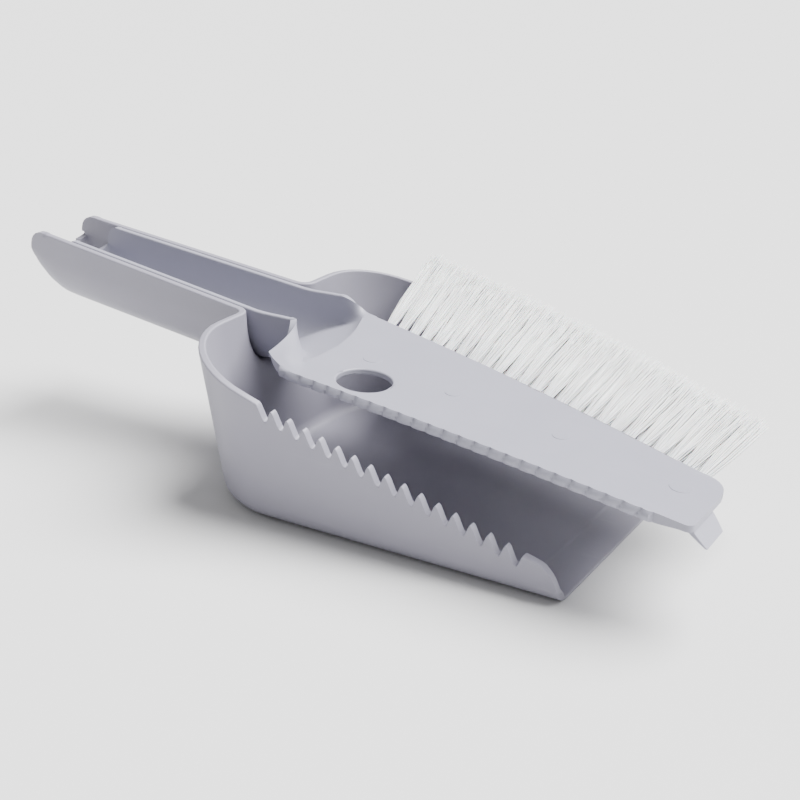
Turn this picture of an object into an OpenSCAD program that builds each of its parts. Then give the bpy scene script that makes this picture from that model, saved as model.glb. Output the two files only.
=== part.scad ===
// Mini dustpan with a hand brush that nests in it. The brush's trough handle lies in the
// pan's trough handle and its head reaches forward over the pan, bristles to the +Y side.
// Frame: +X towards the pan's mouth, +Z up, origin on the base at the middle of the floor.

/* [Pan] */
// Length of the floor, front lip to rear wall
floor_l = 130; // [105:1:165]
// Width of the floor
floor_w = 106; // [90:1:140]
// Height of the rear rim above the base
rim_h = 54; // [44:0.2:66]
// Fall of the side rims towards the mouth, in degrees
rim_slope = 17.9; // [14:0.1:19]
// Thickness of the pan's walls
wall = 2.4; // [1.8:0.1:3]
// Thickness of the pan's floor
floor_t = 2.2; // [1.6:0.1:3]
// Outward lean of the side walls, in degrees
side_draft = 8; // [2:0.5:12]
// Outward lean of the rear wall, in degrees
rear_draft = 3; // [1:0.5:8]
// Plan radius of the two rear corners
corner_r = 29.6; // [15:0.2:40]
// Outer rounding where the walls meet the floor
floor_r = 7; // [4:0.5:12]
// Radius of each side wall's front end
nose_r = 12; // [8:0.5:14]

/* [Comb] */
// Number of comb tips on each side wall
comb_n = 15; // [8:1:17]
// Distance from one comb tip to the next
comb_pitch = 5.47; // [4:0.01:5.8]
// Depth of the comb notches
comb_depth = 4.8; // [3:0.1:7]
// Radius at the bottom of each notch
notch_r = 0.8; // [0.4:0.1:1.2]

/* [Handles] */
// Width of the pan's trough handle at the rear wall
handle_w = 36; // [30:0.2:44]
// Width of the pan's trough handle at its end
handle_end_w = 28.4; // [24:0.2:34]
// Depth of the pan's trough handle
handle_d = 24.5; // [20:0.5:32]
// Length of the pan's handle behind the rear rim
handle_l = 98.5; // [80:0.5:130]
// Rise of the handles towards their ends, in degrees
handle_tilt = 7.7; // [4:0.1:12]
// Gap all round between the brush's handle and the pan's
nest_gap = 0.5; // [0.3:0.1:1.5]
// Distance that the brush's handle stops short of the pan's
brush_inset = 13; // [8:0.5:25]
// Thickness of the brush's walls
brush_wall = 2; // [1.4:0.1:2.6]

/* [Brush head] */
// Length of the head from the neck to the tip
head_l = 149; // [125:1:170]
// Drop from the rear rim to the head's top at the neck
neck_drop = 5.1; // [3:0.1:7]
// Fall of the head towards its tip, in degrees
head_tilt = 5.5; // [3:0.5:7]
// Thickness of the head plate
plate_t = 2.2; // [1.6:0.1:3]
// Height of the near edge, its skirt included
skirt_h = 3; // [2.6:0.1:6]
// Depth of the bar that holds the tufts
bar_h = 8.6; // [7:0.1:11]
// Width of the bar that holds the tufts
bar_w = 10; // [8:0.5:14]
// Radius of the hanging hole
hang_r = 8.6; // [5:0.1:10]
// Number of notches along the near edge
notch_n = 26; // [10:1:30]
// Depth of the scraper tab under the tip
tab_h = 6.6; // [5:0.2:12]

/* [Bristles] */
// Number of tufts in the upper row
tuft_n = 25; // [10:1:27]
// Number of upper tufts at the neck end that have no tuft below them
tuft_skip = 3; // [2:1:8]
// Radius of a tuft at its root
tuft_r = 1.5; // [1:0.1:1.6]
// Radius of a tuft at its tips
tip_r = 2.1; // [1.6:0.1:2.2]
// Free length of the first tuft, at the neck
neck_trim = 67; // [45:1:75]
// Free length of the last tuft, at the tip
tip_trim = 43; // [30:1:55]
// Upward set of the tufts from the plate, in degrees
tuft_lift = 4; // [3:0.5:6]
// Depth of the tuft holes
hole_deep = 7; // [5:0.5:8]

/* [Hidden] */
$fn = 48;
eps = 0.01;
plastic = [0.74, 0.745, 0.78];
bristle = [0.95, 0.95, 0.94];
metal = [0.7, 0.68, 0.62];

lip_x = floor_l / 2;
base_rear = -floor_l / 2;
rear_x = base_rear - rim_h * tan(rear_draft);
top_z = rim_h + 6;
lip_t = 1;
lip_run = 12;
comb_end = nose_r + 0.6;
comb_tip_half = 0.35;

handle_half = handle_w / 2;
taper = (handle_w - handle_end_w) / 2 / handle_l;
brush_half = handle_half - wall - nest_gap;
brush_d = handle_d - wall - nest_gap;
bow_r = 15;
wall_through = 3 * wall + 2;
above = 8;
rim_corner_r = 5;

neck_x = base_rear + 18;
ramp_end = neck_x + 8;
neck_z = rim_h - neck_drop;
neck_out = 18;
ramp_l = 28;
ramp_sink = 0.6;
shoulder_y = handle_half + 23.5;
shoulder_x = 6;
shoulder_r = 4.5;
lip_rise = 2.4;
near_slope = 0.04;
near_bow = 0.0003;
edge_w = 1.6;
notch_side = 1.3;
tip_r_near = 2;
tip_r_far = 9;
far_x = 12;
far_y = handle_half - 3.2;
far_slope = 0.21;
far_bow = 0.0006;
tuft_first = 15.5;
tuft_last = head_l - 10;
tuft_pitch = (tuft_last - tuft_first) / (tuft_n - 1);
row_drop = [3.2, 6.4];
hole_r = tuft_r + 0.05;
neck_lean = -15.6;
tip_lean = 3.7;
root_l = hole_deep - 0.8;
staple = [1.6 * tuft_r, 0.5, 0.6];
staple_gap = 0.1;
hang_x = 36.2;
hang_y = -32.3;
tab_out = 5;
tab_root = 2.6;
tab_edge = 0.8;
tab_top_w = 15;
tab_low_w = 11.8;

// names of the tufts: u_ is the upper row, l_ the lower one
UPPER = [for (i = [0:tuft_n - 1]) str("tuft_u_", i < 9 ? "0" : "", i + 1)];
LOWER = [for (i = [tuft_skip:tuft_n - 2]) str("tuft_l_", i < 9 ? "0" : "", i + 1)];

// ---- helpers ----

function rim_z(x) = rim_h - (x - rear_x) * tan(rim_slope);
function arc(c, r, a0, a1, n = 8) =
    [for (i = [0:n]) c + r * [cos(a0 + (a1 - a0) * i / n), sin(a0 + (a1 - a0) * i / n)]];
function near_y(x) = -shoulder_y - near_slope * (x - shoulder_x) - near_bow * pow(x - shoulder_x, 2);
function far_edge(x) = far_y - far_slope * (x - far_x) - far_bow * pow(x - far_x, 2);

// a side view outline, X across and Z up, drawn out through the whole width
module side_cut(half = 100) {
    rotate([90, 0, 0]) linear_extrude(2 * half, center = true) children();
}

module handle_frame() {
    translate([rear_x, 0, rim_h]) rotate([0, handle_tilt, 0]) children();
}

module head_frame() {
    translate([neck_x, 0, neck_z]) rotate([0, head_tilt, 0]) children();
}

// ---- pan ----

// plan outline of the pan at height z, moved in by inset
module pan_outline(z, inset) {
    half = floor_w / 2 + z * tan(side_draft) - inset;
    rear = base_rear - z * tan(rear_draft) + inset;
    r = max(corner_r - inset, 2);
    polygon(concat(
        [[lip_x + 1, -half], [lip_x + 1, half]],
        arc([rear + r, half - r], r, 90, 180, 10),
        arc([rear + r, r - half], r, 180, 270, 10)));
}

// the pan's volume with its rounded lower edge, from z0 up
module pan_volume(z0, inset, r) {
    hull() {
        for (a = [0, 30, 60, 90])
            translate([0, 0, z0 + r * (1 - cos(a))])
                linear_extrude(eps)
                    pan_outline(z0 + r * (1 - cos(a)), inset + r * (1 - sin(a)));
        translate([0, 0, top_z]) linear_extrude(eps) pan_outline(top_z, inset);
    }
}

// everything above the rims, with the comb notches and the rounded front ends
module above_rim() {
    nose_z = rim_z(lip_x - nose_r) - nose_r;
    side_cut() {
        polygon([[rear_x - 1, rim_z(rear_x - 1)], [lip_x + 2, rim_z(lip_x + 2)],
                 [lip_x + 2, top_z + 10], [rear_x - 1, top_z + 10]]);
        difference() {
            translate([lip_x - nose_r, nose_z]) square([nose_r + 2, nose_r + 4]);
            translate([lip_x - nose_r, nose_z]) circle(nose_r);
        }
        for (i = [0:comb_n]) comb_notch(lip_x - comb_end - i * comb_pitch);
    }
}

module comb_notch(x) {
    low = rim_z(x) - comb_depth + notch_r;
    half = comb_pitch / 2 - comb_tip_half;
    translate([x, low]) circle(notch_r, $fn = 24);
    polygon([[x - notch_r, low], [x + notch_r, low],
             [x + half, rim_z(x + half) + eps], [x - half, rim_z(x - half) + eps]]);
}

// U section of a trough, its top edge at y = 0
module u_section(half, d, over = 0) {
    translate([0, half - d]) circle(half);
    translate([-half, half - d]) square([2 * half, d - half + over]);
}

// plan that narrows a trough towards its end
module taper_plan(half, l) {
    end_half = half - taper * (l + 1);
    polygon([[-l - 1, -end_half], [0, -half], [60, -half], [60, half], [0, half], [-l - 1, end_half]]);
}

// a trough's outside, from its rounded narrow end at x = -l to x = out
module trough(half, d, l, out, low_r, high_r, over = 0) {
    intersection() {
        translate([-l, 0, 0]) rotate([90, 0, 90]) linear_extrude(l + out) u_section(half, d, over);
        translate([0, 0, -d - 1]) linear_extrude(d + over + 2) taper_plan(half, l);
        side_cut() difference() {
            translate([-l, -d]) square([l + out, d + over]);
            translate([-l, -d]) corner_waste(low_r);
            if (high_r > 0) translate([-l, over]) mirror([0, 1]) corner_waste(high_r);
        }
    }
}

module corner_waste(r) {
    difference() {
        translate([-1, -1]) square(r + 1);
        translate([r, r]) circle(r);
    }
}

module dustpan() {
    color(plastic) difference() {
        union() {
            difference() {
                pan_volume(0, 0, floor_r);
                translate([lip_x, -floor_w, -1]) cube([10, 2 * floor_w, top_z + 20]);
                above_rim();
            }
            handle_frame() trough(handle_half, handle_d, handle_l, wall, bow_r, rim_corner_r);
        }
        difference() {
            pan_volume(floor_t, wall, floor_r - wall);
            translate([-200, -100, top_z - 0.5]) cube([200 + rear_x, 200, 10]);
        }
        handle_frame() {
            trough(handle_half - wall, handle_d - wall, handle_l - wall, wall_through,
                bow_r - wall, 0, above);
            translate([-handle_l - 1, wall - handle_end_w / 2, bow_r - handle_d])
                cube([wall + bow_r, handle_end_w - 2 * wall, handle_d]);
        }
        side_cut(floor_w / 2 - floor_r)
            polygon([[lip_x - lip_run, floor_t], [lip_x + 1, lip_t],
                     [lip_x + 1, floor_t + 1], [lip_x - lip_run, floor_t + 1]]);
    }
}

// ---- brush ----

// plan outline of the head, in the head's own frame
module head_outline() {
    n = 10;
    far_end = head_l - tip_r_far - 2;
    near_0 = shoulder_x + shoulder_r;
    near_1 = head_l - tip_r_near;
    polygon(concat(
        arc([near_0, near_y(near_0) + shoulder_r], shoulder_r, 180, 270),
        [for (i = [1:n - 1]) let (x = near_0 + i * (near_1 - near_0) / n) [x, near_y(x)]],
        arc([near_1, near_y(near_1) + tip_r_near], tip_r_near, 270, 360, 4),
        arc([head_l - tip_r_far, far_edge(head_l - tip_r_far) - tip_r_far], tip_r_far, 0, 70),
        [for (i = [0:n]) let (x = far_end - i * (far_end - far_x) / n) [x, far_edge(x)]],
        [[-6, brush_half], [-6, -brush_half]]));
}

// a strip of the head along its far edge, w wide
module far_strip(w, x0, x1) {
    n = 10;
    xs = [for (i = [0:n]) x0 + (x1 - x0) * i / n];
    polygon(concat([for (x = xs) [x, far_edge(x)]],
        [for (i = [n:-1:0]) [xs[i], far_edge(xs[i]) - w]]));
}

// the skirt under the near edge
module skirt() {
    n = 10;
    x0 = shoulder_x + shoulder_r;
    x1 = head_l - tip_r_near;
    xs = [for (i = [0:n]) x0 + (x1 - x0) * i / n];
    translate([0, 0, -skirt_h]) linear_extrude(skirt_h - eps)
        polygon(concat([for (x = xs) [x, near_y(x)]],
            [for (i = [n:-1:0]) [xs[i], near_y(xs[i]) + edge_w]]));
}

// V notches across the near edge
module edge_notches() {
    x0 = shoulder_x + shoulder_r + 3;
    pitch = (head_l - x0 - 16) / (notch_n - 1);
    for (i = [0:notch_n - 1]) let (x = x0 + i * pitch)
        translate([x, near_y(x), -skirt_h - 1]) rotate([0, 0, 45])
            translate([-notch_side / 2, -notch_side / 2, 0])
                cube([notch_side, notch_side, skirt_h + 2]);
}

// the raised edge that falls from the trough's near wall out to the shoulder
module shoulder_lip() {
    post_r = 1;
    hull() {
        translate([-2, -brush_half - 0.3, -plate_t / 2])
            cylinder(r = post_r, h = plate_t / 2 + lip_rise, $fn = 16);
        translate([shoulder_x + 1.2, near_y(shoulder_x) + shoulder_r, -plate_t / 2])
            cylinder(r = post_r, h = plate_t / 2 + 0.3, $fn = 16);
    }
}

// the scraper tab under the tip: a blade that leans forward and thins to its lower edge
module scraper_tab() {
    near = near_y(head_l) + 1;
    intersection() {
        side_cut() polygon([[head_l - tab_root, -plate_t + eps], [head_l - 0.2, -plate_t + eps],
                            [head_l + tab_out, -tab_h], [head_l + tab_out - tab_edge, -tab_h]]);
        translate([head_l - tab_root - 1, 0, 0]) rotate([90, 0, 90])
            linear_extrude(tab_root + tab_out + 2)
                polygon([[near, 0], [near + tab_top_w, 0], [near + tab_top_w, -tab_h / 2],
                         [near + tab_low_w, -tab_h - 1], [near, -tab_h - 1]]);
    }
}

// places its children at upper-row station k, +Z along the tuft and out of the bar
module at_tuft(k, row) {
    x = tuft_first + k * tuft_pitch;
    t = k / (tuft_n - 1);
    translate([x, far_edge(x), -row_drop[row]])
        rotate([0, 0, -(neck_lean + (tip_lean - neck_lean) * t)])
            rotate([tuft_lift - 90, 0, 0]) children();
}

module each_tuft() {
    for (k = [0:tuft_n - 1]) at_tuft(k, 0) children();
    for (k = [tuft_skip:tuft_n - 2]) at_tuft(k + 0.5, 1) children();
}

// side view below the ramp that joins the trough's floor to the head plate
module under_ramp() {
    x0 = ramp_end - ramp_l;
    z0 = rim_h - brush_d;
    z1 = neck_z - plate_t;
    side_cut() polygon([[x0, 0], [x0, z0], [ramp_end, z1], [ramp_end + neck_out, z1],
                        [ramp_end + neck_out, 0]]);
}

module ramp() {
    x0 = ramp_end - ramp_l;
    z0 = rim_h - brush_d;
    z1 = neck_z - plate_t;
    side_cut(brush_half - ramp_sink)
        polygon([[x0, z0], [ramp_end, z1 - 0.3], [ramp_end, z1 + plate_t - 0.2],
                 [x0, z0 + brush_wall]]);
}

module brush_body() {
    l = handle_l - brush_inset;
    color(plastic) difference() {
        union() {
            difference() {
                handle_frame() trough(brush_half, brush_d, l, neck_out, bow_r - 3, rim_corner_r);
                handle_frame() trough(brush_half - brush_wall, brush_d - brush_wall,
                    l - brush_wall, neck_out + 1, bow_r - 5, 0, above);
                under_ramp();
            }
            intersection() {
                ramp();
                handle_frame() trough(brush_half - ramp_sink, brush_d - ramp_sink, l,
                    neck_out + ramp_l, bow_r, 0, above);
            }
            head_frame() {
                translate([0, 0, -plate_t]) linear_extrude(plate_t) head_outline();
                translate([0, 0, -bar_h]) linear_extrude(bar_h - plate_t + eps)
                    far_strip(bar_w, far_x, head_l - tip_r_far - 2);
                skirt();
                shoulder_lip();
                scraper_tab();
            }
        }
        head_frame() {
            translate([hang_x, hang_y, -plate_t - 1]) cylinder(r = hang_r, h = plate_t + 2);
            edge_notches();
            each_tuft() translate([0, 0, -hole_deep]) cylinder(r = hole_r, h = hole_deep + 6, $fn = 24);
        }
    }
}

module tuft(k, row) {
    t = k / (tuft_n - 1);
    trim = neck_trim + (tip_trim - neck_trim) * t;
    color(bristle) head_frame() at_tuft(k, row) {
        translate([0, 0, -root_l]) cylinder(r = tuft_r, h = root_l + eps, $fn = 24);
        cylinder(r1 = tuft_r, r2 = tip_r, h = trim, $fn = 24);
    }
}

// the flat wire anchors that hold the tufts' folds at the bottoms of their holes
module tuft_staples() {
    color(metal) head_frame() each_tuft()
        translate([-staple[0] / 2, -staple[1] / 2, staple_gap - hole_deep]) cube(staple);
}

// ---- assembly ----

dustpan();
brush_body();
tuft_staples();
for (i = [0:tuft_n - 1])
    tuft(i, 0);
for (i = [0:len(LOWER) - 1])
    tuft(i + tuft_skip + 0.5, 1);
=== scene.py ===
# %% [markdown]
# # A mini dustpan with its nested hand brush
# The set is two moulded polypropylene parts and two rows of nylon bristles.
# The design frame is loaded first, because every piece here is made to sit on it.
# Lengths below are in millimetres until a mesh is finished, then they become metres.

# %% load the frame
import math
import random
import bmesh
import bpy
from mathutils import Matrix, Vector


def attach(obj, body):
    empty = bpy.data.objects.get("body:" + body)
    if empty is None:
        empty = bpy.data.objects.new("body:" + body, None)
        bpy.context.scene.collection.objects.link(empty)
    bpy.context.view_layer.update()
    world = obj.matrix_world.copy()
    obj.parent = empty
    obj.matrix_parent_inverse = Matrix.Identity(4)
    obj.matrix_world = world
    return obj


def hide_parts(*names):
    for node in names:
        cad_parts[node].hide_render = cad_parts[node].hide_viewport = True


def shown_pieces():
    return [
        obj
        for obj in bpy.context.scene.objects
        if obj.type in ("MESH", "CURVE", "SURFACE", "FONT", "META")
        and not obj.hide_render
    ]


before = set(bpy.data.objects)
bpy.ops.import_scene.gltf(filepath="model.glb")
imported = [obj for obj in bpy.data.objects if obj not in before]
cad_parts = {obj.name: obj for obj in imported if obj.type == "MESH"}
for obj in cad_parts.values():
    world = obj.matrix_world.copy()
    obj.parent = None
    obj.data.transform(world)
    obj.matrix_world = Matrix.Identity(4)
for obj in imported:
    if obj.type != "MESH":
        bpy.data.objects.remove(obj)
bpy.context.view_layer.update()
MM = 0.001

# %% [markdown]
# ## Small helpers
# Colours are picked as hex codes on a screen, so they are sRGB and have to be made
# linear before a shader uses them. Pattern sizes are thought of in millimetres and
# turned into a noise scale in one place.

# %% colour, node and mesh helpers
def linear(code):
    channels = [int(code[i:i + 2], 16) / 255 for i in (1, 3, 5)]
    curve = [((c + 0.055) / 1.055) ** 2.4 if c > 0.04045 else c / 12.92 for c in channels]
    return (curve[0], curve[1], curve[2], 1.0)


def per_mm(size):
    return 1.0 / (size * MM)


def add(tree, kind, x, y, **values):
    node = tree.nodes.new(kind)
    node.location = (x, y)
    for name, value in values.items():
        node.inputs[name.replace("_", " ")].default_value = value
    return node


def smooth(t):
    t = min(max(t, 0.0), 1.0)
    return t * t * (3 - 2 * t)


def mix(a, b, t):
    return a + (b - a) * t


def curve_at(table, t):
    # reads a short list of (t, value) pairs, straight between one pair and the next
    for (t0, v0), (t1, v1) in zip(table, table[1:]):
        if t <= t1:
            return mix(v0, v1, (t - t0) / (t1 - t0))
    return table[-1][1]


def bow_drop(s, length, radius):
    # how far a rounded end of this radius has come in at s
    back = max(s - (length - radius), 0.0)
    return radius - math.sqrt(max(radius * radius - back * back, 0.0))


def verts_of(geom):
    return [g for g in geom if isinstance(g, bmesh.types.BMVert)]


def edges_between(geom, verts):
    inside = set(verts)
    return [g for g in geom if isinstance(g, bmesh.types.BMEdge) and all(v in inside for v in g.verts)]


def cut(bm, point, normal, clear_outer=False):
    everything = bm.verts[:] + bm.edges[:] + bm.faces[:]
    bmesh.ops.bisect_plane(bm, geom=everything, dist=0.001, plane_co=point, plane_no=normal,
                           clear_outer=clear_outer)


def new_material(name):
    material = bpy.data.materials.new(name)
    material.use_nodes = True
    return material, material.node_tree, material.node_tree.nodes["Principled BSDF"]


# a mix node repeats its socket names for each kind of value, so its colours are counted
MIX_A, MIX_B, MIX_OUT = 6, 7, 2


def colour_mix(tree, x, y, second):
    node = add(tree, "ShaderNodeMix", x, y)
    node.data_type = "RGBA"
    node.inputs[MIX_B].default_value = linear(second)
    return node


def multiply(tree, x, y):
    node = add(tree, "ShaderNodeMath", x, y)
    node.operation = "MULTIPLY"
    return node


def finish_mesh(bm, name, body, material, angle=40):
    bmesh.ops.scale(bm, vec=(MM, MM, MM), verts=bm.verts)
    for face in bm.faces:
        face.smooth = True
    for edge in bm.edges:
        if len(edge.link_faces) == 2 and edge.calc_face_angle() > math.radians(angle):
            edge.smooth = False
    mesh = bpy.data.meshes.new(name)
    bm.to_mesh(mesh)
    bm.free()
    obj = bpy.data.objects.new(name, mesh)
    bpy.context.collection.objects.link(obj)
    mesh.materials.append(material)
    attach(obj, body)
    print(name, len(mesh.polygons), "faces")
    return obj


def soften(obj, width, segments=3):
    # rounds only the edges that carry a bevel weight
    bevel = obj.modifiers.new("rounded edges", "BEVEL")
    bevel.limit_method = "WEIGHT"
    bevel.width = width * MM
    bevel.segments = segments
    bevel.use_clamp_overlap = False
    bevel.harden_normals = False


def weigh_edges(bm, angle, amount):
    layer = bm.edges.layers.float.get("bevel_weight_edge")
    if layer is None:
        layer = bm.edges.layers.float.new("bevel_weight_edge")
    for edge in bm.edges:
        if len(edge.link_faces) == 2 and edge.calc_face_angle() > math.radians(angle):
            middle = (edge.verts[0].co + edge.verts[1].co) / 2
            edge[layer] = amount(middle)


# %% [markdown]
# ## Moulded polypropylene
# Both shells are injection moulded in one cool grey plastic. A spark-eroded mould
# leaves a grain of about a third of a millimetre, too fine to see as dots but enough
# to spread the highlight, so it goes into the bump and not into the colour. Slow
# mottling and faint straight scuffs keep large faces from looking computer-flat.

# %% plastic
def make_plastic(name, colour, shade, scuffed_from):
    material, tree, shader = new_material(name)
    # satin plastic: a broad soft highlight and a little light carried under the skin
    shader.inputs["IOR"].default_value = 1.49
    shader.inputs["Subsurface Weight"].default_value = 0.06
    shader.inputs["Subsurface Radius"].default_value = (1.0, 0.9, 1.0)
    shader.inputs["Subsurface Scale"].default_value = 1.5 * MM
    place = add(tree, "ShaderNodeTexCoord", -1300, 0)
    # mottling about 20 mm across
    cloud = add(tree, "ShaderNodeTexNoise", -1000, 300, Scale=per_mm(22), Detail=3.0, Roughness=0.6)
    tint = colour_mix(tree, -500, 300, shade)
    tint.inputs[MIX_A].default_value = linear(colour)
    # scuffs: noise drawn out along X, so it reads as fine parallel wear
    stretch = add(tree, "ShaderNodeMapping", -1150, -200, Scale=(per_mm(34), per_mm(0.9), per_mm(5)))
    wear = add(tree, "ShaderNodeTexNoise", -950, -200, Scale=1.0, Detail=5.0, Roughness=0.7)
    thin = add(tree, "ShaderNodeMapRange", -750, -200)
    thin.inputs["From Min"].default_value = 0.6
    thin.inputs["From Max"].default_value = 0.74
    # wear grows towards the mouth, where the part meets the floor
    split = add(tree, "ShaderNodeSeparateXYZ", -1150, -500)
    mouth = add(tree, "ShaderNodeMapRange", -950, -500)
    mouth.inputs["From Min"].default_value = scuffed_from * MM
    mouth.inputs["From Max"].default_value = (scuffed_from + 40) * MM
    mouth.inputs["To Min"].default_value = 0.15
    mouth.inputs["To Max"].default_value = 0.7
    share = multiply(tree, -550, -300)
    gloss = add(tree, "ShaderNodeMapRange", -250, -200)
    gloss.inputs["To Min"].default_value = 0.44
    gloss.inputs["To Max"].default_value = 0.62
    worn = colour_mix(tree, -200, 300, "#d6d6da")
    faint = multiply(tree, -400, 100)
    faint.inputs[1].default_value = 0.22
    # grain of the mould and the shallow waviness of a cooled wall
    grain = add(tree, "ShaderNodeTexNoise", -950, -800, Scale=per_mm(0.33), Detail=2.0)
    fine = add(tree, "ShaderNodeBump", -450, -700, Strength=0.16, Distance=0.05 * MM)
    sink = add(tree, "ShaderNodeTexNoise", -950, -1050, Scale=per_mm(30), Detail=1.0)
    broad = add(tree, "ShaderNodeBump", -700, -950, Strength=0.12, Distance=0.5 * MM)
    link = tree.links.new
    for target in (cloud, grain, sink):
        link(place.outputs["Object"], target.inputs["Vector"])
    link(place.outputs["Object"], stretch.inputs["Vector"])
    link(stretch.outputs["Vector"], wear.inputs["Vector"])
    link(place.outputs["Object"], split.inputs["Vector"])
    link(split.outputs["X"], mouth.inputs["Value"])
    link(wear.outputs["Fac"], thin.inputs["Value"])
    link(thin.outputs["Result"], share.inputs[0])
    link(mouth.outputs["Result"], share.inputs[1])
    link(share.outputs["Value"], gloss.inputs["Value"])
    link(gloss.outputs["Result"], shader.inputs["Roughness"])
    link(share.outputs["Value"], faint.inputs[0])
    link(faint.outputs["Value"], worn.inputs[0])
    link(cloud.outputs["Fac"], tint.inputs[0])
    link(tint.outputs[MIX_OUT], worn.inputs[MIX_A])
    link(worn.outputs[MIX_OUT], shader.inputs["Base Color"])
    link(sink.outputs["Fac"], broad.inputs["Height"])
    link(broad.outputs["Normal"], fine.inputs["Normal"])
    link(grain.outputs["Fac"], fine.inputs["Height"])
    link(fine.outputs["Normal"], shader.inputs["Normal"])
    return material


pan_plastic = make_plastic("polypropylene, pan", "#93919d", "#8c8a97", 20)
brush_plastic = make_plastic("polypropylene, brush", "#9a99a6", "#92929f", 60)

# %% [markdown]
# ## Nylon and wire
# Bristle nylon is milky white and slightly see-through. Its roots are painted greyer, as painted shade
# for the light lost among the filaments. Each filament stores how far along it a
# point is, and the colour reads that value. The staples are plain drawn steel wire.

# %% nylon and wire
def make_nylon():
    material, tree, shader = new_material("nylon filament")
    # a soft sheen along each filament
    shader.inputs["Roughness"].default_value = 0.38
    shader.inputs["Subsurface Weight"].default_value = 0.1
    shader.inputs["Subsurface Scale"].default_value = 0.6 * MM
    along = add(tree, "ShaderNodeAttribute", -700, 100)
    along.attribute_name = "along"
    # painted shade: grey at the filament roots, turning white a third of the way out
    ramp = add(tree, "ShaderNodeValToRGB", -450, 100)
    ramp.color_ramp.elements[0].color = linear("#d3d3d8")
    ramp.color_ramp.elements[1].color = linear("#fbfbfa")
    ramp.color_ramp.elements[1].position = 0.35
    place = add(tree, "ShaderNodeTexCoord", -900, -200)
    dust = add(tree, "ShaderNodeTexNoise", -700, -200, Scale=per_mm(6), Detail=3.0)
    tone = colour_mix(tree, -150, 100, "#e9e9ea")
    soft = multiply(tree, -400, -200)
    soft.inputs[1].default_value = 0.35
    link = tree.links.new
    link(along.outputs["Fac"], ramp.inputs["Fac"])
    link(place.outputs["Object"], dust.inputs["Vector"])
    link(dust.outputs["Fac"], soft.inputs[0])
    link(soft.outputs["Value"], tone.inputs[0])
    link(ramp.outputs["Color"], tone.inputs[MIX_A])
    link(tone.outputs[MIX_OUT], shader.inputs["Base Color"])
    return material


def make_wire():
    material, tree, shader = new_material("steel wire")
    # bright metal whose drawing marks break up the reflection
    shader.inputs["Metallic"].default_value = 1.0
    shader.inputs["Base Color"].default_value = linear("#c3bfb6")
    place = add(tree, "ShaderNodeTexCoord", -700, 0)
    drawn = add(tree, "ShaderNodeTexNoise", -500, 0, Scale=per_mm(0.4), Detail=3.0)
    gloss = add(tree, "ShaderNodeMapRange", -250, 0)
    gloss.inputs["To Min"].default_value = 0.25
    gloss.inputs["To Max"].default_value = 0.5
    tree.links.new(place.outputs["Object"], drawn.inputs["Vector"])
    tree.links.new(drawn.outputs["Fac"], gloss.inputs["Value"])
    tree.links.new(gloss.outputs["Result"], shader.inputs["Roughness"])
    return material


nylon = make_nylon()
wire = make_wire()

# %% [markdown]
# ## The numbers the two shells share
# The trough handles nest with half a millimetre between them, so both read the same
# taper, tilt and depth. Keeping them in one place keeps the fit.

# %% shared sizes
RIM_H = 54.0
REAR_X = -67.83
SLOPE = math.tan(math.radians(17.9))
TILT = math.radians(7.7)
HANDLE_L = 98.5
HANDLE_D = 24.5
HANDLE_HALF = 18.0
HANDLE_END_HALF = 14.2
TAPER = (HANDLE_HALF - HANDLE_END_HALF) / HANDLE_L
WALL = 2.4
GAP = 0.5
BRUSH_WALL = 2.0
NECK_X = -47.0
NECK_Z = 48.9
HEAD_TILT = math.radians(5.5)
HEAD_L = 149.0


def rim_z(x):
    return RIM_H - (x - REAR_X) * SLOPE


def on_handle(s, y, z):
    # s runs back from the rear rim, z is up from the trough's top edge
    return Vector((REAR_X - s * math.cos(TILT) + z * math.sin(TILT), y,
                   RIM_H + s * math.sin(TILT) + z * math.cos(TILT)))


def u_point(v, half, deep):
    # v runs 0..1 across a trough: down one side, round the bottom, up the other
    side = deep - half
    if v < 0.2:
        return (-half, -side * v / 0.2)
    if v > 0.8:
        return (half, -side * (1 - v) / 0.2)
    turn = math.pi * (v - 0.2) / 0.6
    return (-half * math.cos(turn), -side - half * math.sin(turn))


# %% [markdown]
# ## The dustpan
# A dustpan is one thin wall folded into a tray. It is easiest to make the outside as a
# sheet, a flat floor whose edges are pulled up, and give it thickness at the very end.
# The two rear corners are rounded first while they are only two points on a flat face.

# %% the pan's floor and walls
FLOOR_HALF_L = 65.0
FLOOR_HALF_W = 53.0
CORNER_R = 29.6
FOOT_R = 6.1
SHEET_H = 60.0
REAR_LEAN = math.tan(math.radians(3))
SIDE_LEAN = math.tan(math.radians(8))
AT_MOUTH = FLOOR_HALF_L - 0.1
pan = bmesh.new()
bmesh.ops.create_grid(pan, x_segments=1, y_segments=1, size=1.0)
bmesh.ops.scale(pan, vec=(FLOOR_HALF_L, FLOOR_HALF_W, 1.0), verts=pan.verts)
rear = [v for v in pan.verts if v.co.x < 0]
bmesh.ops.bevel(pan, geom=rear, offset=CORNER_R, offset_type="OFFSET", segments=12,
                profile=0.5, affect="VERTICES", material=-1)
outline = [e for e in pan.edges if not all(v.co.x > AT_MOUTH for v in e.verts)]
outline = [e for e in outline if e.is_boundary]
grown = bmesh.ops.extrude_edge_only(pan, edges=outline)
for v in verts_of(grown["geom"]):
    side = 1 if v.co.y > 0 else -1
    if v.co.x < AT_MOUTH:
        v.co.x -= SHEET_H * REAR_LEAN
    v.co.y += side * SHEET_H * SIDE_LEAN
    v.co.z += SHEET_H
foot = [e for e in pan.edges if all(abs(v.co.z) < 0.01 for v in e.verts)]
foot = [e for e in foot if len(e.link_faces) == 2]
bmesh.ops.bevel(pan, geom=foot, offset=FOOT_R, offset_type="OFFSET", segments=6,
                profile=0.5, affect="EDGES", material=-1)
print("pan sheet", len(pan.faces), "faces")

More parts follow.
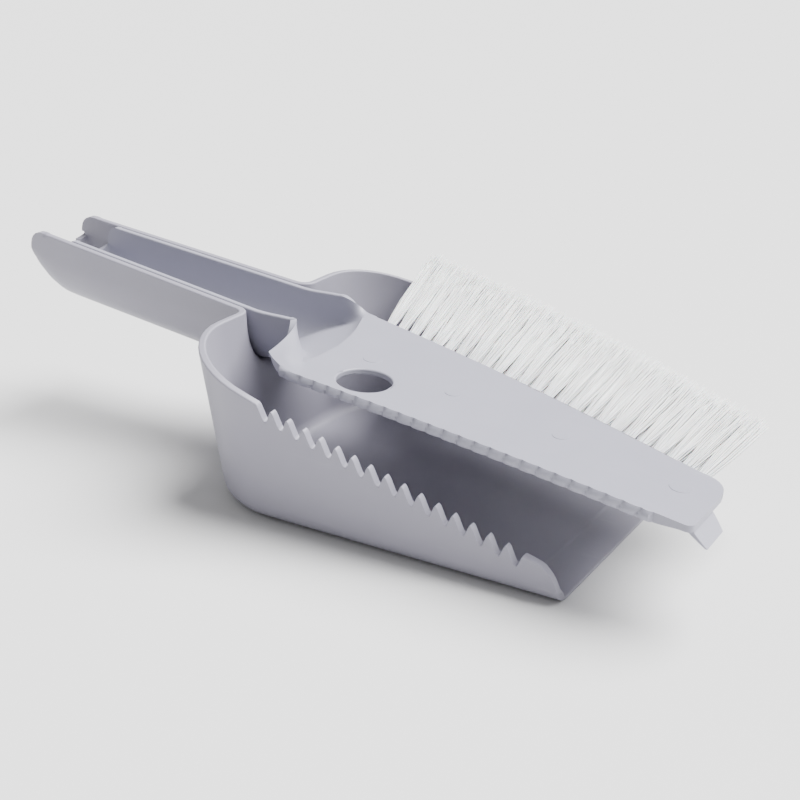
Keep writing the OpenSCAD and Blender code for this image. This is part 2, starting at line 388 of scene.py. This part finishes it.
# %% [markdown]
# ## Rims, comb and rounded front ends
# The comb combs dirt off the brush. Its teeth are cut into the side rims, so the wall
# first gets a column of edges for each bend of the tooth outline, and then the points
# on the rim are lowered to it. Cutting columns is cheaper and cleaner than a boolean.

# %% cut the rim and the comb
PITCH = 5.47
TEETH = 16
FIRST = FLOOR_HALF_L - 12.6
# half a notch: distance from its middle, depth below the rim
tooth = [(0.0, 4.8), (0.45, 4.66), (0.8, 4.1), (1.45, 2.4), (2.05, 0.85), (2.4, 0.3), (2.735, 0.14)]
columns = set()
for i in range(TEETH):
    for reach, drop in tooth:
        columns.add(round(FIRST - i * PITCH - reach, 3))
        columns.add(round(FIRST - i * PITCH + reach, 3))
# three more in front of the comb, where the nose bends down
columns.update((58.0, 61.0, 63.5))
for x in sorted(columns):
    cut(pan, (x, 0, 0), (1, 0, 0))
cut(pan, (REAR_X, 0, RIM_H), (SLOPE, 0, 1), clear_outer=True)
NOSE = 12.0
nose_centre = Vector((FLOOR_HALF_L - NOSE, 0, rim_z(FLOOR_HALF_L - NOSE) - NOSE))
for degrees in range(22, 90, 8):
    a = math.radians(degrees)
    direction = Vector((math.sin(a), 0, math.cos(a)))
    cut(pan, nose_centre + direction * NOSE, direction, clear_outer=True)


def tooth_drop(x):
    if x > FIRST + PITCH / 2 or x < FIRST - (TEETH - 1) * PITCH - PITCH / 2:
        return 0.0
    nearest = round((FIRST - x) / PITCH)
    return curve_at(tooth, abs(x - (FIRST - nearest * PITCH)))


rim_verts = {v for e in pan.edges if e.is_boundary for v in e.verts}
for v in rim_verts:
    if abs(v.co.z - rim_z(v.co.x)) < 0.05 and abs(v.co.y) > 40:
        drop = tooth_drop(v.co.x)
        v.co.z -= drop
        v.co.y -= math.copysign(drop * SIDE_LEAN, v.co.y)
print("pan with comb", len(pan.faces), "faces")

# %% [markdown]
# ## The trough handle
# The handle runs straight out of the rear wall. The flat rear panel is taken out, an
# open U is set in the hole and bridged to its three sides, and the U is then drawn
# back along the handle in steps. Its end is a rounded bow, so the last steps follow a
# quarter circle and get shallower.

# %% grow the handle out of the rear wall
panel = max((f for f in pan.faces if abs(f.normal.x) > 0.9), key=lambda f: f.calc_area())
panel_edges = list(panel.edges)
bmesh.ops.delete(pan, geom=[panel], context="FACES_ONLY")
top = [e for e in panel_edges if e.is_valid and all(v.co.z > 50 for v in e.verts)]
bmesh.ops.delete(pan, geom=top, context="EDGES")
sides = [e for e in panel_edges if e.is_valid]
upright = [e for e in sides if abs(e.verts[0].co.z - e.verts[1].co.z) > 5]
level = [e for e in sides if e not in upright]
bmesh.ops.subdivide_edges(pan, edges=upright, cuts=4)
bmesh.ops.subdivide_edges(pan, edges=level, cuts=13)
hole = [e for e in pan.edges if e.is_boundary
        and all(abs(v.co.y) < 32 and v.co.x < -64 for v in e.verts)]
print("hole edges", len(hole))

U_STEPS = 24
END_BOW = 15.0
END_CORNER = 5.0
BOW_START = HANDLE_L - END_BOW


def on_rear_wall(v):
    # slides a point of the U along the handle until it lies in the leaning rear wall
    y, z = u_point(v, HANDLE_HALF, HANDLE_D)
    p0 = on_handle(0, y, z)
    step = on_handle(1, y, z) - p0
    s = -(p0.x + FLOOR_HALF_L + p0.z * REAR_LEAN) / (step.x + step.z * REAR_LEAN)
    return p0 + step * s


first = bmesh.ops.create_circle(pan, cap_ends=False, segments=U_STEPS + 1, radius=1.0)["verts"]
ring_edges = [e for e in pan.edges if e.is_wire and e.verts[0] in first]
chain = [first[0]]
used = set()
while len(chain) < len(first):
    for e in chain[-1].link_edges:
        if e.is_wire and e not in used:
            used.add(e)
            chain.append(e.other_vert(chain[-1]))
            break
closing = [e for e in ring_edges if e not in used]
bmesh.ops.delete(pan, geom=closing, context="EDGES")
for i, v in enumerate(chain):
    v.co = on_rear_wall(i / U_STEPS)
chain_edges = [e for e in pan.edges if e.is_wire]
bmesh.ops.bridge_loops(pan, edges=hole + chain_edges)

steps = [4, 10, 24, 40, 56, 70, BOW_START]
steps += [BOW_START + END_BOW * math.sin(math.radians(a)) for a in range(10, 91, 10)]


def u_along(i, s):
    # one point of the trough's outside at s, with the bow and the rim corner at its end
    y, z = u_point(i / U_STEPS, HANDLE_HALF - TAPER * s, HANDLE_D)
    deep = HANDLE_D - bow_drop(s, HANDLE_L, END_BOW)
    drop = bow_drop(s, HANDLE_L, END_CORNER)
    share = -z / HANDLE_D
    return on_handle(s, y, -(drop + share * (deep - drop)))


front = chain
# the last points under the bow, which are left open
end_cap = set()
for s in steps:
    edges = [e for e in pan.edges if e.is_boundary and e.verts[0] in front and e.verts[1] in front]
    grown = bmesh.ops.extrude_edge_only(pan, edges=edges)["geom"]
    fresh = set(verts_of(grown))
    following = []
    for v in front:
        following += [e.other_vert(v) for e in v.link_edges if e.other_vert(v) in fresh]
    for i, v in enumerate(following):
        v.co = u_along(i, s)
        if s > 92 and 9 <= i <= U_STEPS - 9:
            end_cap.add(v)
    front = following
joint_edges = [e for e in pan.edges if e.verts[0] in chain and e.verts[1] in chain
               and len(e.link_faces) == 2]
bmesh.ops.bevel(pan, geom=joint_edges, offset=3.0, offset_type="OFFSET", segments=4,
                profile=0.5, affect="EDGES", material=-1)
open_end = [f for f in pan.faces if all(v in end_cap for v in f.verts)]
bmesh.ops.delete(pan, geom=open_end, context="FACES")
bmesh.ops.recalc_face_normals(pan, faces=pan.faces)
floor_face = min(pan.faces, key=lambda f: f.calc_center_median().z)
if floor_face.normal.z > 0:
    bmesh.ops.reverse_faces(pan, faces=pan.faces)
print("pan sheet with handle", len(pan.faces), "faces")

# %% [markdown]
# ## Wall thickness and soft edges
# The sheet gets its wall on the inside, so the outside stays exactly on the design.
# The front lip is thinned to a millimetre, as a real one is, to let dust ride over it.
# Every rim then gets a small rounding, smaller on the comb so the teeth keep shape.

# %% give the pan its wall
LIP_T = 1.0
LIP_RUN = 12.0
LIP_FROM = FLOOR_HALF_L - LIP_RUN
bmesh.ops.solidify(pan, geom=pan.faces, thickness=WALL)
for v in pan.verts:
    # only the floor's upper side, clear of the rounded feet of the walls
    if v.co.x > LIP_FROM and 1.2 < v.co.z < 4 and abs(v.co.y) < 48:
        v.co.z = mix(2.2, LIP_T, min((v.co.x - LIP_FROM) / LIP_RUN, 1.0))
bmesh.ops.recalc_face_normals(pan, faces=pan.faces)


def pan_softness(p):
    # none on the bow of the handle, half on the comb, full on every other rim
    if p.x < -158:
        return 0.0
    return 0.5 if p.x > -35 and abs(p.y) > 40 else 1.0


weigh_edges(pan, 55, pan_softness)
dustpan = finish_mesh(pan, "dustpan_shell", "dustpan", pan_plastic)
soften(dustpan, 0.55)
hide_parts("dustpan")
print("pan size in mm", [round(d / MM, 1) for d in dustpan.dimensions])

# %% [markdown]
# ## The brush's one-piece body
# The brush body starts as a trough that nests in the pan's handle and opens out into a
# flat head. A single grid, wrapped section by section, keeps the surface continuous
# through the neck, which is the part a viewer looks at most. Rows run along the body
# and columns run across it.

# %% rules for the brush's sections
INNER_HALF = HANDLE_HALF - WALL - GAP - BRUSH_WALL
INNER_D = HANDLE_D - WALL - GAP - BRUSH_WALL
BRUSH_L = HANDLE_L - 13.0 - BRUSH_WALL
BRUSH_BOW = 10.0
COLUMNS = 40
TIP_R_FAR = 9.0
TIP_R_NEAR = 2.0
SHOULDER_Y = -37.8
FAR_CREASE_Y = 16.6
LIP_RISE = 2.0


def plate_z(x):
    return NECK_Z - (x - NECK_X) * math.tan(HEAD_TILT)


def head_x(x):
    return (x - NECK_X) / math.cos(HEAD_TILT)


def near_edge(xh):
    return -41.5 - 0.04 * (xh - 6) - 0.0003 * (xh - 6) ** 2


def far_edge(xh):
    return 14.8 - 0.21 * (xh - 12) - 0.0006 * (xh - 12) ** 2


def trough_floor(x):
    # depth of the inside floor below the rim line; it ramps up towards the neck
    return mix(INNER_D, 7.6, smooth((x + 71) / 27) ** 0.9)


def trough_point(x, v):
    s = (REAR_X - x) / math.cos(TILT)
    y, z = u_point(v, INNER_HALF - TAPER * s, INNER_D)
    deep = INNER_D - bow_drop(s, BRUSH_L, BRUSH_BOW)
    drop = bow_drop(s, BRUSH_L, 4.0)
    share = -z / INNER_D
    low = -trough_floor(x)
    z = -(drop + share * (deep - drop))
    # a rounded, not a sharp, meeting of the sides and the rising floor
    z = low + math.log1p(math.exp((z - low) * 1.6)) / 1.6 if z - low < 12 else z
    lift = 1.8 * smooth((x + 66) / 18) * max(0.0, 1 + z / 9)
    return on_handle(s, y, z + lift)


# how far across the head each column sits
spread = [(0.0, 0.0), (0.2, 0.085), (0.8, 0.91), (1.0, 1.0)]
# the line on which the ramp meets the plate, x against y
crease = [(-37.8, -42.6), (-36.2, -37.0), (-34.0, -33.4), (-27.0, -32.0), (-15.0, -32.0),
          (-6.0, -33.6), (0.0, -35.3), (8.0, -38.4), (17.0, -42.0)]


def lip_share(v):
    # 1 on the flat band along the shoulder's edge, falling to 0 at the plate
    return min(1.0, max(0.0, 1 - (v - 0.075) / 0.125))


def crease_point(v):
    y = mix(SHOULDER_Y, FAR_CREASE_Y, curve_at(spread, v))
    x = curve_at(crease, y)
    return Vector((x, y, plate_z(x) + LIP_RISE * lip_share(v)))


def head_point(x, y_near, v, raised=0.0):
    xh = head_x(x)
    low, high = y_near, far_edge(xh)
    if xh > HEAD_L - TIP_R_FAR:
        high = far_edge(HEAD_L - TIP_R_FAR) - bow_drop(xh, HEAD_L, TIP_R_FAR)
    if xh > HEAD_L - TIP_R_NEAR:
        low = near_edge(HEAD_L - TIP_R_NEAR) + bow_drop(xh, HEAD_L, TIP_R_NEAR)
    y = mix(low, high, curve_at(spread, v))
    return Vector((x, y, plate_z(x) + raised * lip_share(v)))


# %% [markdown]
# ## Wrapping the grid
# The list of rows holds a rule for each step along the body: plain trough, the fan that
# swings from the trough to the shoulder, the rows that straighten out again, and then
# the head with six rows to each rib of its near edge.

# %% wrap the body
RAMP_X = -72.0
FAN_X = -49.5
HEAD_FROM = -28.0
HEAD_TO = 91.0
RIB = 5.2
ROWS_PER_RIB = 6
rows = []
back_x = REAR_X - BRUSH_L * math.cos(TILT)
for a in range(0, 91, 15):
    x = back_x + BRUSH_BOW * math.cos(TILT) * (1 - math.cos(math.radians(a)))
    rows.append(("trough", x))
for i in range(1, 15):
    rows.append(("trough", mix(back_x + BRUSH_BOW, RAMP_X, i / 14)))
for i in range(1, 13):
    rows.append(("trough", mix(RAMP_X, FAN_X, i / 12)))
for i in range(1, 19):
    rows.append(("fan", i / 18))
for i in range(1, 11):
    rows.append(("open", i / 10))
count = int((HEAD_TO - HEAD_FROM) / RIB * ROWS_PER_RIB)
for i in range(1, count + 1):
    rows.append(("head", mix(HEAD_FROM, HEAD_TO, i / count)))
# closer rows where the tip's corners turn
for xh in (140.5, 142.5, 144.5, 146, 147, 147.7, 148.3, 148.7, 148.93, 149):
    rows.append(("head", NECK_X + xh * math.cos(HEAD_TILT)))


def body_point(row, v):
    kind, t = row
    if kind == "trough":
        return trough_point(t, v)
    if kind == "fan":
        start = trough_point(FAN_X + 5 * t, v)
        return start.lerp(crease_point(v), t ** 1.7)
    if kind == "open":
        start = crease_point(v)
        x = mix(start.x, HEAD_FROM, t)
        xh = head_x(x)
        edge = mix(near_edge(xh), SHOULDER_Y, (1 - t) ** 3)
        return head_point(x, edge, v, LIP_RISE * (1 - t) ** 2)
    return head_point(t, near_edge(head_x(t)), v)


body = bmesh.new()
bmesh.ops.create_grid(body, x_segments=len(rows) - 1, y_segments=COLUMNS, size=1.0)
body.verts.ensure_lookup_table()
last = len(rows) - 1
near_line = []
column_of = {}
for v in body.verts:
    r = round((v.co.x + 1) / 2 * last)
    c = round((v.co.y + 1) / 2 * COLUMNS)
    v.co = body_point(rows[r], c / COLUMNS)
    column_of[v] = c
    if c == 0 and rows[r][0] in ("open", "head"):
        near_line.append(v)
    if r == last:
        near_line.append(v)
print("brush grid", len(body.verts), "points")

# %% [markdown]
# ## The ribbed near edge and the hanging hole
# The near edge is a grip: pillows about five millimetres long that lean towards the
# tip. The edge is pulled down in thin steps and each step is pushed out by a pillow
# shape. The hole is opened by bridging the cut faces to a true circle.

# %% ribs and hole
near_set = set(near_line)
skirt_edges = [e for e in body.edges if e.is_boundary
               and e.verts[0] in near_set and e.verts[1] in near_set]


def pillow(x, deep):
    if x < -38 or x > 90:
        return 0.0
    phase = ((x + 0.5 * deep + 38) / RIB) % 1.0
    return 1 - abs(2 * phase - 1) ** 5


for v in near_line:
    if -36 < v.co.x < 92 and v.co.y < -36:
        v.co.y -= 0.5 * pillow(v.co.x, 0)
STEPS = 6
for step in range(STEPS):
    grown = bmesh.ops.extrude_edge_only(body, edges=skirt_edges)["geom"]
    fresh = verts_of(grown)
    skirt_edges = edges_between(grown, fresh)
    for v in fresh:
        tall = mix(3.0, 2.0, smooth((v.co.x - 90) / 9)) * smooth((v.co.x + 43) / 5)
        v.co.z -= tall / STEPS
        deep = (step + 1) * tall / STEPS
        if v.co.x < 92 and v.co.y < -36:
            base = near_edge(head_x(v.co.x))
            if v.co.x > -36:
                arch = math.sin(math.pi * (step + 1.5) / (STEPS + 1.5))
                bulge = (0.4 + 0.9 * arch) * pillow(v.co.x, deep)
                v.co.y = base - bulge

HANG = Vector((-11.07, -32.3, 0))
doomed = [f for f in body.faces
          if all(2 <= column_of.get(v, -1) <= 17 and -20.9 < v.co.x < -1.2 for v in f.verts)]
open_before = {e for e in body.edges if e.is_boundary}
bmesh.ops.delete(body, geom=doomed, context="FACES")
hole = [e for e in body.edges if e.is_boundary and e not in open_before]
rim = bmesh.ops.create_circle(body, cap_ends=False, segments=len(hole), radius=8.6)["verts"]
for v in rim:
    v.co += HANG
    v.co.z = plate_z(v.co.x)
rim_edges = [e for e in body.edges if e.is_wire]
bmesh.ops.bridge_loops(body, edges=hole + rim_edges)
bmesh.ops.recalc_face_normals(body, faces=body.faces)
mid_head = Vector((40, -20, plate_z(40)))
probe = min(body.faces, key=lambda f: (f.calc_center_median() - mid_head).length)
if probe.normal.z > 0:
    bmesh.ops.reverse_faces(body, faces=body.faces)
bmesh.ops.solidify(body, geom=body.faces, thickness=-BRUSH_WALL)
bmesh.ops.recalc_face_normals(body, faces=body.faces)


def brush_softness(p):
    # the handle's rims, the hanging hole and the head's far edge
    if back_x + 6 < p.x < -52 and p.z > 40:
        return 1.0
    if (Vector((p.x, p.y, 0)) - HANG).length < 9.0:
        return 1.0
    if -36 < p.x < 84 and abs(p.y - far_edge(head_x(p.x))) < 1:
        return 1.0
    return 0.0


weigh_edges(body, 50, brush_softness)
brush = finish_mesh(body, "brush_shell", "brush", brush_plastic)
soften(brush, 0.5)
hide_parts("brush_body")
print("brush size in mm", [round(d / MM, 1) for d in brush.dimensions])

# %% [markdown]
# ## The tuft bar and the scraper tab
# Under the far edge a thick bar takes the tuft holes. At the tip a thin leaning blade
# hangs down to scrape what the bristles can't reach. Both are strips that are bent to
# the head's outline and then given thickness.

# %% bar and tab
bar = bmesh.new()
bmesh.ops.create_grid(bar, x_segments=48, y_segments=1, size=1.0)
for v in bar.verts:
    xh = mix(12.0, HEAD_L - 9.5, (v.co.x + 1) / 2)
    y = far_edge(xh) - (0.2 if v.co.y > 0 else 10.2)
    x = NECK_X + xh * math.cos(HEAD_TILT)
    v.co = Vector((x, y, plate_z(x) - 1.4))
bmesh.ops.recalc_face_normals(bar, faces=bar.faces)
BAR_H = 7.2
for v in verts_of(bmesh.ops.extrude_face_region(bar, geom=bar.faces)["geom"]):
    v.co.z -= BAR_H
bmesh.ops.recalc_face_normals(bar, faces=bar.faces)
weigh_edges(bar, 50, lambda p: 1.0)
tuft_bar = finish_mesh(bar, "tuft_bar", "brush", brush_plastic)
soften(tuft_bar, 0.5)

TAB_TOP = plate_z(101.0) - 1.5
TAB_BOTTOM = 28.3
tab = bmesh.new()
bmesh.ops.create_grid(tab, x_segments=14, y_segments=10, size=1.0)
for v in tab.verts:
    across = (v.co.x + 1) / 2
    down = (v.co.y + 1) / 2
    far = -36.6 - 2.6 * down ** 2
    x = mix(100.5, 105.2, down ** 1.15)
    v.co = Vector((x, mix(-51.3, far, across), mix(TAB_TOP, TAB_BOTTOM, down)))
bmesh.ops.recalc_face_normals(tab, faces=tab.faces)
if tab.faces[:][0].normal.x < 0:
    bmesh.ops.reverse_faces(tab, faces=tab.faces)
for v in verts_of(bmesh.ops.extrude_face_region(tab, geom=tab.faces)["geom"]):
    down = (TAB_TOP - v.co.z) / (TAB_TOP - TAB_BOTTOM)
    v.co.x -= mix(2.4, 0.8, down)
bmesh.ops.recalc_face_normals(tab, faces=tab.faces)
weigh_edges(tab, 50, lambda p: 1.0)
scraper = finish_mesh(tab, "scraper_tab", "brush", brush_plastic)
soften(scraper, 0.3)

# %% [markdown]
# ## Ejector marks
# Pins that push the part out of its mould leave flat round witness marks. They are
# raised by a hair, which is enough for a grazing light to draw their edge.

# %% ejector marks
def witness_mark(name, x, y, radius):
    mark = bmesh.new()
    bmesh.ops.create_circle(mark, cap_ends=True, segments=40, radius=radius)
    grown = bmesh.ops.extrude_face_region(mark, geom=mark.faces)["geom"]
    for v in verts_of(grown):
        v.co.x *= 0.95
        v.co.y *= 0.95
        v.co.z += 0.22
    for v in mark.verts:
        v.co.x += x
        v.co.y += y
        v.co.z += plate_z(v.co.x) - 0.1
    bmesh.ops.recalc_face_normals(mark, faces=mark.faces)
    finish_mesh(mark, name, "brush", brush_plastic, angle=20)


witness_mark("mark_by_hole", -18.0, -16.5, 3.2)
witness_mark("mark_at_tip", 91.0, -34.0, 3.4)
witness_mark("mark_middle_near", 14.0, -22.0, 2.6)
witness_mark("mark_middle_far", 52.0, -27.0, 2.6)

# %% [markdown]
# ## Bristles
# A tuft is a bundle of nylon filaments folded in half and stapled into its hole. Each
# tuft here is many copies of one filament, a thin four-sided tube made by extruding a
# tiny circle. Every copy leans a little differently, and the trimmed ends are uneven
# by about a millimetre, which is what makes a brush look like a brush.

# %% the filament and the tufts
SEGMENTS = 5
FILAMENT_R = 0.17
GOLDEN_ANGLE = 2.39996
template = bmesh.new()
bmesh.ops.create_circle(template, cap_ends=False, segments=4, radius=FILAMENT_R)
ring_edges = list(template.edges)
for i in range(SEGMENTS):
    grown = bmesh.ops.extrude_edge_only(template, edges=ring_edges)["geom"]
    fresh = verts_of(grown)
    ring_edges = edges_between(grown, fresh)
    for v in fresh:
        v.co.z += 1.0 / SEGMENTS
bmesh.ops.edgeloop_fill(template, edges=ring_edges)
bmesh.ops.recalc_face_normals(template, faces=template.faces)
along = template.verts.layers.float.new("along")
for v in template.verts:
    v[along] = v.co.z
filament = bpy.data.meshes.new("filament")
template.to_mesh(filament)
template.free()

TUFT_N = 25
TUFT_SKIP = 3
FIRST_XH = 15.5
TUFT_PITCH = (HEAD_L - 10 - FIRST_XH) / (TUFT_N - 1)
ROW_DROP = (3.2, 6.4)
FILAMENTS = 90


def tuft_frame(k, row):
    t = k / (TUFT_N - 1)
    xh = FIRST_XH + k * TUFT_PITCH
    lean = math.radians(mix(-15.6, 3.7, t))
    head = Matrix.Translation((NECK_X, 0, NECK_Z)) @ Matrix.Rotation(HEAD_TILT, 4, "Y")
    seat = Matrix.Translation((xh, far_edge(xh), -ROW_DROP[row]))
    turn = Matrix.Rotation(-lean, 4, "Z") @ Matrix.Rotation(math.radians(4 - 90), 4, "X")
    return head @ seat @ turn, mix(67.0, 43.0, t)


def make_tuft(name, k, row, dice):
    place, trim = tuft_frame(k, row)
    tuft = bmesh.new()
    for i in range(FILAMENTS):
        before = len(tuft.verts)
        tuft.from_mesh(filament)
        tuft.verts.ensure_lookup_table()
        angle = i * GOLDEN_ANGLE
        reach = math.sqrt((i + 0.5) / FILAMENTS)
        root = Vector((math.cos(angle), math.sin(angle), 0)) * reach
        length = trim + dice.uniform(-1.0, 0.9)
        spread_to = Vector((root.x * 3.1, root.y * 2.5, 0))
        spread_to += Vector((dice.gauss(0, 0.55), dice.gauss(0, 0.45), 0))
        bow = Vector((dice.gauss(0, 0.5), dice.gauss(0, 0.5), 0))
        turn = Matrix.Rotation(dice.uniform(0, 1.57), 3, "Z")
        for v in tuft.verts[before:]:
            t = v.co.z
            skin = turn @ Vector((v.co.x, v.co.y, 0))
            path = (root * 1.35).lerp(spread_to, t) + bow * math.sin(math.pi * t)
            v.co = path + skin * mix(1.0, 0.85, t) + Vector((0, 0, mix(-0.8, length, t)))
    bmesh.ops.transform(tuft, matrix=place, verts=tuft.verts)
    obj = finish_mesh(tuft, name, "brush", nylon, angle=100)
    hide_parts(name)


dice = random.Random(7)
for k in range(TUFT_N):
    make_tuft("tuft_u_%02d" % (k + 1), k, 0, dice)
for k in range(TUFT_SKIP, TUFT_N - 1):
    make_tuft("tuft_l_%02d" % (k + 1), k + 0.5, 1, dice)
bpy.data.meshes.remove(filament)

# %% [markdown]
# ## Staples
# The wire anchors at the bottoms of the tuft holes keep the design's own mesh, and get
# a real wire finish on its slot.

# %% staples
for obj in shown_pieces():
    if obj.name.startswith("tuft_staples"):
        for holder in obj.material_slots:
            holder.material = wire
        print("wire on", obj.name)

# %% [markdown]
# ## Camera, floor and light
# The set stands on a plain pale table under a big soft window of light from behind the
# left shoulder, with a bright room all round. Large lights keep the shadows soft, so
# the moulded shape is read from its shading and not from hard black edges.

# %% camera
azimuth = math.radians(31.391)
elevation = math.radians(21.767)
camera_data = bpy.data.cameras.new("camera")
camera_data.lens = 62.09
camera_data.sensor_width = 36.0
camera = bpy.data.objects.new("camera", camera_data)
bpy.context.collection.objects.link(camera)
camera.location = (0.2011, -0.3593, 0.1946)
camera.rotation_euler = (math.radians(90) - elevation, 0.0, azimuth)
bpy.context.scene.camera = camera

# %% floor
ground = bmesh.new()
bmesh.ops.create_grid(ground, x_segments=1, y_segments=1, size=4.0)
ground_mesh = bpy.data.meshes.new("floor")
ground.to_mesh(ground_mesh)
ground.free()
floor = bpy.data.objects.new("floor", ground_mesh)
bpy.context.collection.objects.link(floor)
matt, _, paint = new_material("matt white table")
# a plain light ground that gives the set its soft contact shadow
paint.inputs["Base Color"].default_value = linear("#dcdcdc")
paint.inputs["Roughness"].default_value = 0.85
ground_mesh.materials.append(matt)

# %% light
world = bpy.data.worlds.new("bright room")
world.use_nodes = True
room = world.node_tree.nodes["Background"]
room.inputs["Color"].default_value = (1.0, 1.0, 1.0, 1.0)
room.inputs["Strength"].default_value = 0.5
bpy.context.scene.world = world

sun_data = bpy.data.lights.new("window", "SUN")
sun_data.energy = 12.0
sun_data.angle = math.radians(50)
sun = bpy.data.objects.new("window", sun_data)
sun.rotation_euler = Vector((0.42, 0.34, 0.84)).to_track_quat("Z", "Y").to_euler()
bpy.context.collection.objects.link(sun)
